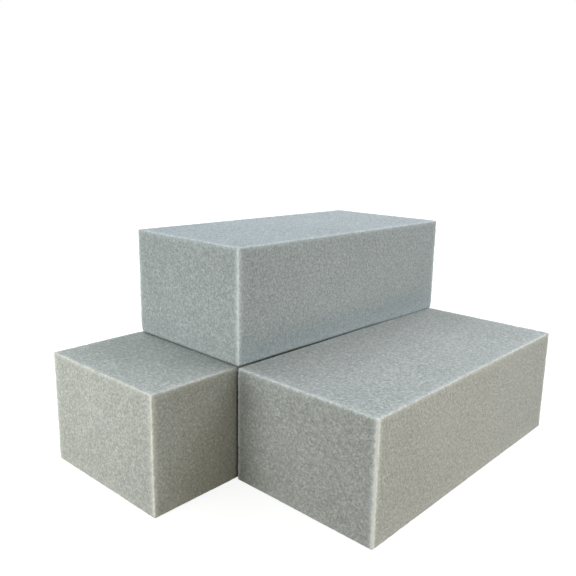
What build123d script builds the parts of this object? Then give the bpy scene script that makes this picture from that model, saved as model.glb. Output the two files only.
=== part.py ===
from build123d import *
import os

# Three identical bricks of dry floral foam, stacked loose: two lie side by side on the table, and
# the third lies on the left one. Each brick is one solid block of foam, with nothing inside it.
#
# Millimetres. +Y runs along the bricks and +Z is up. The origin is the middle of the stack's
# footprint, on the surface that it stands on.

# One brick, as it is cut from the slab.
LENGTH = 230.0
WIDTH = 110.0
HEIGHT = 78.0
EDGE_RADIUS = 1.2  # foam edges crumble a little as soon as they are handled

# How the bricks lie. Each is placed by its inner front bottom corner, the one beside the other
# column of the stack, and turned about it, seen from above, counter-clockwise. The lower right
# brick's corner is (0, 0, 0), with no turn.
LEFT_GAP = 0.7  # between the two lower bricks, at the left one's front end
LEFT_STEP = 66.0  # the left brick's front end stands this far in front of the right one's
LEFT_TURN = 1.0  # degrees; the gap widens towards the back
UPPER_OVERLAP = 0.2  # the upper brick's side stands this far over the right brick's side
UPPER_STEP = 0.4  # the upper brick's front end is this far behind the right brick's
UPPER_TURN = -0.9  # degrees; the upper brick reaches further over the right one at its back end


def brick(to_right):
    """One foam brick, standing on Z = 0, with its inner front bottom corner at the origin."""
    across = Align.MIN if to_right else Align.MAX
    block = Box(WIDTH, LENGTH, HEIGHT, align=(across, Align.MIN, Align.MIN))
    return fillet(block.edges(), EDGE_RADIUS)


def lower_right_brick():
    """The brick at the right of the stack, which the other two are lined up by."""
    return brick(to_right=True)


def lower_left_brick():
    """The brick under the upper one, pulled forward so that its front third is in the open."""
    place = Pos(-LEFT_GAP, -LEFT_STEP, 0) * Rot(0, 0, LEFT_TURN)
    return place * brick(to_right=False)


def upper_brick():
    """The brick laid on the lower left one, with its front end nearly level with the right one's."""
    place = Pos(UPPER_OVERLAP, UPPER_STEP, HEIGHT) * Rot(0, 0, UPPER_TURN)
    return place * brick(to_right=False)


def centred(nodes):
    """The same nodes, moved so that the origin is under the middle of the whole stack's box."""
    box = Compound(list(nodes.values())).bounding_box()
    middle = box.center()
    shift = Pos(-middle.X, -middle.Y, -box.min.Z)
    return {name: shift * solid for name, solid in nodes.items()}


nodes = centred(
    {
        "lower_left_brick": lower_left_brick(),
        "lower_right_brick": lower_right_brick(),
        "upper_brick": upper_brick(),
    }
)

os.makedirs("parts", exist_ok=True)
for name, solid in nodes.items():
    solid.label = name
    export_step(solid, f"parts/{name}.step")
    box = solid.bounding_box()
    print(f"{name}: x {box.min.X:.2f} to {box.max.X:.2f}, y {box.min.Y:.2f} to {box.max.Y:.2f}, "
          f"z {box.min.Z:.2f} to {box.max.Z:.2f}, volume {solid.volume / 1000:.1f} cm3")
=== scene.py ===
import math

import bpy
import numpy as np
from mathutils import Euler, Matrix, Vector, kdtree, noise


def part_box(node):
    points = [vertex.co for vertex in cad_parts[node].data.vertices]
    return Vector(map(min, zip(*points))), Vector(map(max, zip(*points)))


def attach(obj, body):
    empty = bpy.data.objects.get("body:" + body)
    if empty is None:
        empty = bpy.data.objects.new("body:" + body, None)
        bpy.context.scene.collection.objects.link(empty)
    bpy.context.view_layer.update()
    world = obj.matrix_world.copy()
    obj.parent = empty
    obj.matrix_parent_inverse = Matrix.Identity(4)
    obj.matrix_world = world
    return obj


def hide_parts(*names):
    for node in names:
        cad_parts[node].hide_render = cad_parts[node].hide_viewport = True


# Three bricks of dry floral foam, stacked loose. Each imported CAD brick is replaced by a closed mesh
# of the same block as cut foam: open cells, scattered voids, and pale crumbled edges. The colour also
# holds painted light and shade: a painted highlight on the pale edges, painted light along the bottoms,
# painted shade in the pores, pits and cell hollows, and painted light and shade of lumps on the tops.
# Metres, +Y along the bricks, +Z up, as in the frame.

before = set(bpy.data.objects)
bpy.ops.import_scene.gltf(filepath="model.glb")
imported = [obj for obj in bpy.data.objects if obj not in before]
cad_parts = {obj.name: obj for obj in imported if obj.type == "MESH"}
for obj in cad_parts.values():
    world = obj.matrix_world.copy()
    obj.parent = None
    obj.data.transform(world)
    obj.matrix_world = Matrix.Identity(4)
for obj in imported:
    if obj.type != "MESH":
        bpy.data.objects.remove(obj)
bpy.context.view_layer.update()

MM = 0.001

# What differs between the bricks. The key is the CAD body that the brick rides on.
#   turn: how the brick lies, in degrees, counter-clockwise as seen from above.
#   colour, and the pale edges' colour: the colours of the foam and of its pale edges, which are partly
#   crumbled wear and partly painted light.
#   bottom_radii: the radius of the bottom edges, at the brick's front and at its back, in mm.
#   upright, top, bottom: how pale those edges are. Along the upright and top edges that is partly
#   crumbled wear and partly a painted highlight; along the bottom it is mostly painted light that lifts
#   the shade there. First how pale, where 0 is as the faces, and then how far the paleness reaches, in
#   mm.
BRICKS = {
    "lower_left": {
        "node": "lower_left_brick", "slot": "lower_left_foam", "turn": 1.0, "seed": 11,
        "colour": (0.405, 0.414, 0.379), "pale_edge_and_painted_light": (0.92, 0.91, 0.82), "bottom_radii": (0.6, 0.6),
        "upright": (0.92, 1.7), "top": (0.45, 1.25), "bottom": (0.16, 6.0),
    },
    "lower_right": {
        "node": "lower_right_brick", "slot": "lower_right_foam", "turn": 0.0, "seed": 23,
        "colour": (0.403, 0.414, 0.385), "pale_edge_and_painted_light": (0.93, 0.96, 0.92), "bottom_radii": (0.6, 0.6),
        "upright": (2.8, 0.95), "top": (0.50, 1.25), "bottom": (0.14, 5.0),
    },
    "upper": {
        "node": "upper_brick", "slot": "upper_foam", "turn": -0.9, "seed": 37,
        "colour": (0.376, 0.402, 0.394), "pale_edge_and_painted_light": (0.86, 0.93, 0.91), "bottom_radii": (3.4, 2.0),
        "upright": (1.18, 1.4), "top": (0.50, 1.25), "bottom": (0.36, 7.0),
    },
}

# The grid that a brick's mesh is made on.
EDGE_STEP = 0.55 * MM  # spacing at the edges
FACE_STEP = 1.09 * MM  # spacing in the middle of a face
STEP_GROWTH = 1.25
JITTER = 0.32  # how far a point strays from its place in the grid, in grid steps
ATLAS_GAP = 2 * MM  # between the sides of a brick, laid out flat in the UV map

# The brick's edges.
EDGE_RADIUS = 0.9 * MM
RADIUS_SPREAD = 0.14 * MM
RADIUS_LUMPS = 5 * MM
BOTTOM_RADIUS_CHANGES = (25 * MM, 55 * MM)  # along the brick, from its middle: front's to back's
BOTTOM_RADIUS_RISE = 6 * MM  # above the bottom, where the bottom's radius has become the others'

# The relief of the cut foam: how deep each kind is, and the size of its lumps.
WAVE_DEPTH = 0.08 * MM
WAVE_LUMPS = 45 * MM
GRAIN_DEPTH = 0.05 * MM
GRAIN_LUMPS = 1.3 * MM
CRUMBLE_DEPTH = 0.10 * MM  # beside the edges only
CRUMBLE_LUMPS = 2.3 * MM
CRUMBLE_REACH = 2.6 * MM
CRUMBLE_SHARE = 0.3  # the higher, the more of an edge has crumbled
CALM_REACH = 2.5 * MM  # this near the bottom edges, the marks are shallower
CALMEST = 0.3

# Voids all over the brick and chips along its edges: radii in mm, and depths over radii.
PIT_COUNT = 1200
PIT_RADII = (0.8, 1.4)
PIT_DEPTHS = (0.15, 0.35)
DEEP_PIT = 0.5 * MM  # this deep, a pit has its full painted shade
CHIP_COUNT = 110
CHIP_RADII = (1.0, 2.2)
CHIP_DEPTHS = (0.05, 0.14)
CHIP_INSET = 0.4 * MM

# How the relief is laid on the sides.
INSET_REACH = 3.0 * MM  # a point this near a side moves with it
SIDE_PROUD = 0.13 * MM  # the lumps stand this proud of the CAD faces
LEVEL_PROUD = 0.25 * MM  # and this proud on the top and the bottom, so that stacked bricks meet
LEVEL_REACH = 1 * MM  # a point this near the top or the bottom begins to take their painted light and shade of lumps


# ---------------------------------------------------------------- noise

NOISE_SHIFT = (17.3, 5.9, 11.1)  # between one pattern and the next, in lumps


def perlin(points, size, offset):
    """Smooth noise between about -1 and 1 at each point, with lumps about `size` metres apart."""
    shift = Vector([offset * along for along in NOISE_SHIFT])
    return np.array([noise.noise(Vector(p) + shift) for p in (points / size).tolist()])


# ---------------------------------------------------------------- a box, as a grid

def ruled_line(length):
    """Places of the grid lines along one side of a brick: close together at both ends."""
    steps = [EDGE_STEP]
    while steps[-1] * STEP_GROWTH < FACE_STEP:
        steps.append(steps[-1] * STEP_GROWTH)
    ends = np.concatenate([[0.0], np.cumsum(steps)])
    middle_count = math.ceil((length - 2 * ends[-1]) / FACE_STEP)
    middle = np.linspace(ends[-1], length - ends[-1], middle_count + 1)
    return np.concatenate([ends[:-1], middle, (length - ends[:-1])[::-1]]) - length / 2


def box_points(size, rng):
    """Points on the six sides of a box: strayed, and in their grid. Then each grid place's point."""
    lines = [ruled_line(length) for length in size]
    counts = [len(line) for line in lines]
    index = np.indices(counts)
    on_skin = np.zeros(counts, dtype=bool)
    for axis, count in enumerate(counts):
        on_skin |= (index[axis] == 0) | (index[axis] == count - 1)
    number = np.full(counts, -1)
    number[on_skin] = np.arange(on_skin.sum())
    where = np.argwhere(on_skin)
    grid = np.stack([lines[axis][where[:, axis]] for axis in range(3)], axis=1)
    step = np.stack([np.gradient(lines[axis])[where[:, axis]] for axis in range(3)], axis=1)
    at_end = np.stack([(where[:, a] == 0) | (where[:, a] == counts[a] - 1) for a in range(3)], axis=1)
    stray = rng.uniform(-JITTER, JITTER, grid.shape) * step
    return grid + np.where(at_end, 0.0, stray), grid, number


def box_sides(size, grid, number):
    """The outward quads of a box, and each quad corner's place in the flat layout, from 0 to 1."""
    across, along, up = (length + ATLAS_GAP for length in size)
    square = 2 * across + 2 * up
    # Axis and end of each side: the axes that run along and up the layout, and its low corner there.
    layout = {
        (2, 0): (1, 0, 0, 0),
        (2, 1): (1, 0, 0, across),
        (0, 1): (1, 2, 0, 2 * across),
        (0, 0): (2, 1, along, 0),
        (1, 0): (0, 2, 0, 2 * across + up),
        (1, 1): (0, 2, across, 2 * across + up),
    }
    quads, places = [], []
    for (axis, end), (u, v, u_low, v_low) in layout.items():
        side = np.take(number, -end, axis=axis)  # the first layer, 0, or the last, -1
        ring = [side[:-1, :-1], side[1:, :-1], side[1:, 1:], side[:-1, 1:]]
        if (end == 0) != (axis == 1):
            ring.reverse()
        ring = np.stack(ring, axis=-1).reshape(-1, 4)
        quads.append(ring)
        spread = grid[ring][:, :, [u, v]] + np.array([size[u], size[v]]) / 2
        places.append((spread + [u_low, v_low] + np.array(ATLAS_GAP / 2)) / square)
    return np.concatenate(quads), np.concatenate(places)


def edge_gaps(points, half):
    """How far each point is from the nearest upright edge, and from the nearest level one."""
    gap_x, gap_y, gap_z = (half - np.abs(points)).T
    return np.maximum(gap_x, gap_y), np.maximum(np.minimum(gap_x, gap_y), gap_z)


def rounded(points, half, bottom_radii, seed):
    """The points of a box, moved onto the same box with rounded edges."""
    bottom_radius = np.interp(points[:, 1], BOTTOM_RADIUS_CHANGES, bottom_radii) * MM
    height = np.clip((points[:, 2] + half[2]) / BOTTOM_RADIUS_RISE, 0, 1)
    radius = bottom_radius + (EDGE_RADIUS - bottom_radius) * height
    radius += RADIUS_SPREAD * perlin(points, RADIUS_LUMPS, seed)
    inner = half - radius[:, None]
    core = np.clip(points, -inner, inner)
    outward = points - core
    outward /= np.linalg.norm(outward, axis=1, keepdims=True)
    return core + outward * radius[:, None]


# ---------------------------------------------------------------- the foam's relief

def dents(points, centres, radii, depths, rng):
    """Depth at each point of round dents: full at each dent's centre and none at its rim. The radii
    are a range in mm, and the depths are a range of depth over radius."""
    tree = kdtree.KDTree(len(points))
    for i, p in enumerate(points.tolist()):
        tree.insert(p, i)
    tree.balance()
    reach = rng.uniform(*radii, len(centres)) * MM
    deepest = reach * rng.uniform(*depths, len(centres))
    depth = np.zeros(len(points))
    for centre, radius, middle in zip(centres.tolist(), reach.tolist(), deepest.tolist()):
        for _, i, away in tree.find_range(centre, radius):
            depth[i] = max(depth[i], middle * (1 - (away / radius) ** 2))
    return depth


def edge_places(rng, half, count):
    """Random places along the twelve edges of a box, in proportion to their length."""
    lengths = np.repeat(half, 4)
    edge = rng.choice(12, size=count, p=lengths / lengths.sum())
    axis = edge // 4
    corner = edge % 4
    places = np.empty((count, 3))
    for i in range(count):
        others = [a for a in range(3) if a != axis[i]]
        places[i, axis[i]] = rng.uniform(-half[axis[i]], half[axis[i]])
        places[i, others[0]] = half[others[0]] * (1 if corner[i] & 1 else -1)
        places[i, others[1]] = half[others[1]] * (1 if corner[i] & 2 else -1)
    return places


def relief(points, half, gaps, rng, seed):
    """How deep the cut foam's surface lies at each point, and how deep its pits alone."""
    upright_gap, level_gap = gaps
    wave = WAVE_DEPTH * (1 + perlin(points, WAVE_LUMPS, seed + 1))
    grain = GRAIN_DEPTH * (1 + perlin(points, GRAIN_LUMPS, seed + 2))
    near_edge = np.clip(1 - np.minimum(upright_gap, level_gap) / CRUMBLE_REACH, 0, 1)
    lumps = np.clip(CRUMBLE_SHARE + perlin(points, CRUMBLE_LUMPS, seed + 3), 0, 1)
    crumble = CRUMBLE_DEPTH * near_edge * lumps

    pit_places = points[rng.choice(len(points), PIT_COUNT, replace=False)]
    pits = dents(points, pit_places, PIT_RADII, PIT_DEPTHS, rng)
    chip_places = edge_places(rng, half - CHIP_INSET, CHIP_COUNT)
    chips = dents(points, chip_places, CHIP_RADII, CHIP_DEPTHS, rng)

    # The bottom edges stay straighter than the others.
    calm = np.where(points[:, 2] > 0, 1.0, np.clip(level_gap / CALM_REACH, CALMEST, 1.0))
    return wave + grain + calm * (crumble + np.maximum(pits, chips)), pits


def paleness(points, gaps, facts):
    """How pale each point is, where 0 is as the faces: partly crumbled wear, partly painted light."""
    upright_gap, level_gap = gaps

    def fade(kind, gap):
        strength, reach = facts[kind]
        return strength * np.exp(-gap / (reach * MM))

    level = np.where(points[:, 2] > 0, fade("top", level_gap), fade("bottom", level_gap))
    return np.maximum(fade("upright", upright_gap), level)


def foam_brick(name, size, facts):
    """A closed mesh of one brick, centred on the origin, with its surface cut into the foam's cells."""
    seed = facts["seed"]
    rng = np.random.default_rng(seed)
    half = np.array(size) / 2
    sharp, grid, number = box_points(size, rng)
    quads, places = box_sides(size, grid, number)
    gaps = edge_gaps(sharp, half)

    points = rounded(sharp, half, facts["bottom_radii"], seed)
    depth, pits = relief(points, half, gaps, rng, seed)
    # Each side moves in and out, and a point near it moves with it, ever less with distance.
    inward = depth[:, None] - np.array([SIDE_PROUD, SIDE_PROUD, LEVEL_PROUD])
    pull = np.clip(1 - (half - np.abs(points)) / INSET_REACH, 0, 1)
    points -= np.sign(points) * pull * pull * (3 - 2 * pull) * inward

    mesh = bpy.data.meshes.new(name)
    mesh.from_pydata(points.tolist(), [], quads.tolist())
    mesh.polygons.foreach_set("use_smooth", np.ones(len(quads), dtype=bool))
    marks = {
        # paleness: partly crumbled wear, partly a painted highlight and painted light along the bottoms
        "wear_and_painted_light": paleness(sharp, gaps, facts),
        # painted shade in the pits, by their depth
        "painted_pit_shade": np.clip(pits / DEEP_PIT, 0, 1),
        "level": np.clip(1 - (half[2] - np.abs(sharp[:, 2])) / LEVEL_REACH, 0, 1),
    }
    for label, values in marks.items():
        layer = mesh.attributes.new(label, "FLOAT", "POINT")
        layer.data.foreach_set("value", values.astype(np.float32))
    mesh.uv_layers.new(name="OFBake").data.foreach_set("uv", places.astype(np.float32).ravel())
    mesh.update()
    return bpy.data.objects.new(name, mesh)


# ---------------------------------------------------------------- material

class Tree:
    """A short way to write a node tree: each call adds one node and links its inputs."""

    def __init__(self, owner):
        owner.use_nodes = True
        self.nodes = owner.node_tree.nodes
        self.links = owner.node_tree.links
        self.nodes.clear()

    def node(self, kind, inputs=None, **settings):
        made = self.nodes.new(kind)
        for key, value in settings.items():
            setattr(made, key, value)
        for key, value in (inputs or {}).items():
            if isinstance(value, bpy.types.NodeSocket):
                self.links.new(value, made.inputs[key])
            else:
                made.inputs[key].default_value = value
        return made

    def math(self, operation, a, b=0.0, clamp=False):
        return self.node("ShaderNodeMath", {0: a, 1: b}, operation=operation, use_clamp=clamp).outputs[0]

    def ramp(self, value, low, high, to_low=0.0, to_high=1.0, kind="LINEAR"):
        """value from low to high, mapped to to_low to to_high and held there outside."""
        sockets = {"Value": value, "From Min": low, "From Max": high, "To Min": to_low, "To Max": to_high}
        made = self.node("ShaderNodeMapRange", sockets, interpolation_type=kind, clamp=True)
        return made.outputs[0]

    def mix(self, factor, a, b):
        """Two colours, mixed. A Mix node's colours are its inputs 6 and 7 and its output 2."""
        return self.node("ShaderNodeMix", {0: factor, 6: a, 7: b}, data_type="RGBA").outputs[2]


def foam_material(name, seed, foam_colour, pale_edge_and_painted_light_colour):
    """Cut foam: cells of many shades, painted shade in the pores, pits and cell hollows, and paler at
    the edges, partly crumbled wear and partly painted light.
    """
    material = bpy.data.materials.new(name)
    tree = Tree(material)
    coords = tree.node("ShaderNodeTexCoord").outputs["Object"]
    shift = (seed, seed * 0.7, seed * 0.3)  # no two bricks have the same pattern
    place = tree.node("ShaderNodeMapping", {"Vector": coords, "Location": shift}).outputs[0]

    def noise_at(scale, detail):
        sockets = {"Vector": place, "Scale": scale, "Detail": detail}
        return tree.node("ShaderNodeTexNoise", sockets).outputs["Fac"]

    def cells_at(scale):
        return tree.node("ShaderNodeTexVoronoi", {"Vector": place, "Scale": scale}).outputs

    def mark(label):
        return tree.node("ShaderNodeAttribute", attribute_name=label).outputs["Fac"]

    # Scales are in lumps or cells per metre.
    mottle = noise_at(580.0, 0.0)
    lumps = noise_at(380.0, 0.0)
    grit = noise_at(1150.0, 1.0)
    drift = noise_at(18.0, 2.0)
    tufts = noise_at(450.0, 3.0)
    cell = cells_at(1250.0)
    painted_pore_shade = cells_at(800.0)["Distance"]
    own = tree.node("ShaderNodeSeparateColor", {"Color": cell["Color"]}).outputs[0]

    # What shades the foam: a value, its low and its high, and what it multiplies the shade by at each.
    shades = [
        (mottle, 0.33, 0.77, 0.905, 1.185),
        (own, 0.0, 1.0, 0.84, 1.18),
        # painted shade in the pores
        (painted_pore_shade, 0.12, 0.26, 0.62, 1.0),
        (grit, 0.30, 0.75, 0.96, 1.14),
        (drift, 0.3, 0.7, 0.97, 1.03),
        # painted shade in each cell's hollow, paler at its walls
        (cell["Distance"], 0.0, 0.6, 0.82, 1.10),
        # painted shade in the pits
        (mark("painted_pit_shade"), 0.0, 1.0, 1.0, 0.90),
    ]
    # On the tops and bottoms: painted light and shade of lumps, as they look at a glancing angle.
    painted_lump_shading = tree.math("MULTIPLY", mark("level"), tree.ramp(lumps, 0.25, 0.75, -0.07, 0.07))
    shade = tree.math("ADD", painted_lump_shading, 1.0)
    for value, low, high, at_low, at_high in shades:
        shade = tree.math("MULTIPLY", shade, tree.ramp(value, low, high, at_low, at_high))
    foam = tree.node("ShaderNodeVectorMath", {0: foam_colour, "Scale": shade}, operation="SCALE")

    # Pale edges: partly crumbled wear, partly a painted highlight, and painted light along the bottoms.
    pale_edge_and_painted_light = tree.math("MULTIPLY", mark("wear_and_painted_light"), tree.ramp(tufts, 0.3, 0.7, 0.6, 1.5))
    pale_edge_and_painted_light = tree.math("MULTIPLY", pale_edge_and_painted_light, tree.ramp(grit, 0.3, 0.7, 0.75, 1.25), clamp=True)
    colour = tree.mix(pale_edge_and_painted_light, foam.outputs[0], (*pale_edge_and_painted_light_colour, 1.0))

    height = tree.math("ADD", cell["Distance"], tree.math("MULTIPLY", grit, 0.8))
    bump = tree.node("ShaderNodeBump", {"Height": height, "Distance": 0.16 * MM, "Strength": 0.8})
    shader = tree.node("ShaderNodeBsdfPrincipled", {
        "Base Color": colour,
        "Roughness": tree.ramp(mottle, 0.3, 0.7, 0.88, 1.0),
        "Specular IOR Level": 0.15,
        "Normal": bump.outputs[0],
    })
    tree.node("ShaderNodeOutputMaterial", {"Surface": shader.outputs[0]})
    return material


# ---------------------------------------------------------------- the bricks

# The bricks are all the same size, and the right one isn't turned, so its box gives it.
right_low, right_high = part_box("lower_right_brick")
brick_size = [high - low for low, high in zip(right_low, right_high)]


def make_brick(body, facts):
    brick = foam_brick(facts["node"] + "_foam", brick_size, facts)
    low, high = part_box(facts["node"])
    brick.location = [(low[a] + high[a]) / 2 for a in range(3)]
    brick.rotation_euler = Euler((0, 0, math.radians(facts["turn"])))
    bpy.context.scene.collection.objects.link(brick)
    material = foam_material(brick.name, facts["seed"], facts["colour"], facts["pale_edge_and_painted_light"])
    brick.data.materials.append(material)
    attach(brick, body)
    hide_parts(facts["node"])


for brick_body, brick_facts in BRICKS.items():
    make_brick(brick_body, brick_facts)


# ---------------------------------------------------------------- camera

# Where the camera stands, from the right brick's front inner bottom corner, and how it is turned.
CAMERA_OFFSET = Vector((0.2883, -0.2647, 0.2198))
CAMERA_AZIMUTH = math.radians(42.84)
CAMERA_ELEVATION = math.radians(12.76)
CAMERA_ROLL = math.radians(1.04)
LENS_MM = 40.15
SENSOR_MM = 36.0


def make_camera():
    data = bpy.data.cameras.new("camera")
    data.lens = LENS_MM
    data.sensor_width = SENSOR_MM
    camera = bpy.data.objects.new("camera", data)
    heading = Matrix.Rotation(CAMERA_AZIMUTH, 4, "Z")
    tilt = Matrix.Rotation(math.pi / 2 - CAMERA_ELEVATION, 4, "X")
    roll = Matrix.Rotation(CAMERA_ROLL, 4, "Z")
    camera.matrix_world = Matrix.Translation(Vector(right_low) + CAMERA_OFFSET) @ heading @ tilt @ roll
    bpy.context.scene.collection.objects.link(camera)
    bpy.context.scene.camera = camera


make_camera()


# ---------------------------------------------------------------- floor, light and world

FLOOR_REACH = 8.0
FLOOR_COLOUR = (0.30, 0.29, 0.27, 1)
FLOOR_GLOW = 0.86  # how white the camera sees the floor, over what the lights give it
WHITE_FROM = 0.45  # from here outwards the floor grows to plain white
WHITE_BY = 1.6


def make_floor():
    """A floor that is white to the camera, but gives the bricks little light from below."""
    mesh = bpy.data.meshes.new("floor")
    corners = [(-1, -1), (1, -1), (1, 1), (-1, 1)]
    mesh.from_pydata([(x * FLOOR_REACH, y * FLOOR_REACH, 0) for x, y in corners], [], [(0, 1, 2, 3)])
    floor = bpy.data.objects.new("floor", mesh)
    material = bpy.data.materials.new("floor")
    tree = Tree(material)
    coords = tree.node("ShaderNodeTexCoord").outputs["Object"]
    away = tree.node("ShaderNodeVectorMath", {0: coords}, operation="LENGTH").outputs["Value"]
    glow = tree.ramp(away, WHITE_FROM, WHITE_BY, FLOOR_GLOW, 1.0, kind="SMOOTHSTEP")
    seen = tree.node("ShaderNodeLightPath").outputs["Is Camera Ray"]
    shader = tree.node("ShaderNodeBsdfPrincipled", {
        "Base Color": FLOOR_COLOUR,
        "Roughness": 0.9,
        "Specular IOR Level": 0.1,
        "Emission Color": (1, 1, 1, 1),
        "Emission Strength": tree.math("MULTIPLY", glow, seen),
    })
    tree.node("ShaderNodeOutputMaterial", {"Surface": shader.outputs[0]})
    mesh.materials.append(material)
    bpy.context.scene.collection.objects.link(floor)


# Name: azimuth, elevation, distance, width, height, colour and power in watts. Azimuth 0 is in
# front of the bricks' ends and 90 beside their right sides. Each faces the middle of the stack.
SOFTBOXES = {
    "overhead": (0, 90, 1.7, 1.8, 1.8, (0.86, 0.93, 1.0), 6.8),
    "left": (-90, 50, 1.6, 1.0, 1.0, (0.87, 0.94, 1.0), 12.7),
    "left_front": (-45, 50, 1.6, 1.0, 1.0, (0.33, 0.69, 1.0), 1.4),
    "behind": (180, 50, 1.6, 1.0, 1.0, (0.90, 0.91, 1.0), 10.8),
    "right_behind": (135, 50, 1.6, 1.0, 1.0, (0.89, 0.96, 1.0), 5.9),
    "right_behind_low": (120, 3.5, 1.6, 0.9, 0.12, (0.55, 0.73, 1.0), 5.2),
}
# Small lights close to the stack. Name: place, aim, width, height, colour and power in watts.
CARDS = {
    "right_card": ((0.60, 0.02, 0.09), (0.11, 0.03, 0.03), 0.45, 0.12, (1.0, 0.91, 0.62), 0.49),
    "right_strip": ((0.38, 0.02, 0.03), (0.112, 0.03, 0.03), 0.40, 0.04, (1.0, 0.82, 0.62), 0.24),
    "front_strip": ((-0.11, -0.42, 0.036), (-0.055, -0.15, 0.03), 0.32, 0.06, (1.0, 0.96, 0.93), 0.26),
    "front_card": ((-0.08, -0.50, 0.12), (-0.05, -0.08, 0.11), 0.20, 0.10, (0.96, 1.0, 0.98), 0.76),
}
STACK_MIDDLE = (0.0, 0.0, 0.07)
WORLD_LIGHT = 0.10


def make_light(name, place, aim, width, height, colour, power):
    data = bpy.data.lights.new(name, "AREA")
    data.shape = "RECTANGLE"
    data.size = width
    data.size_y = height
    data.color = colour
    data.energy = power
    light = bpy.data.objects.new(name, data)
    light.location = place
    light.rotation_euler = (Vector(aim) - Vector(place)).to_track_quat("-Z", "Y").to_euler()
    light.visible_camera = False
    bpy.context.scene.collection.objects.link(light)


def make_softbox(name, azimuth, elevation, distance, width, height, colour, power):
    azimuth, elevation = math.radians(azimuth), math.radians(elevation)
    level = distance * math.cos(elevation)
    place = (level * math.sin(azimuth), -level * math.cos(azimuth), distance * math.sin(elevation))
    make_light(name, place, STACK_MIDDLE, width, height, colour, power)


def make_world():
    """A white studio: the background shows white, and lights the bricks only a little."""
    world = bpy.data.worlds.new("world")
    tree = Tree(world)
    seen = tree.node("ShaderNodeLightPath").outputs["Is Camera Ray"]
    strength = tree.ramp(seen, 0.0, 1.0, WORLD_LIGHT, 1.0)
    background = tree.node("ShaderNodeBackground", {"Color": (1, 1, 1, 1), "Strength": strength})
    tree.node("ShaderNodeOutputWorld", {"Surface": background.outputs[0]})
    bpy.context.scene.world = world


make_floor()
for softbox_name, softbox in SOFTBOXES.items():
    make_softbox(softbox_name, *softbox)
for card_name, card in CARDS.items():
    make_light(card_name, *card)
make_world()

view = bpy.context.scene.view_settings
view.view_transform = "Standard"
view.look = "None"
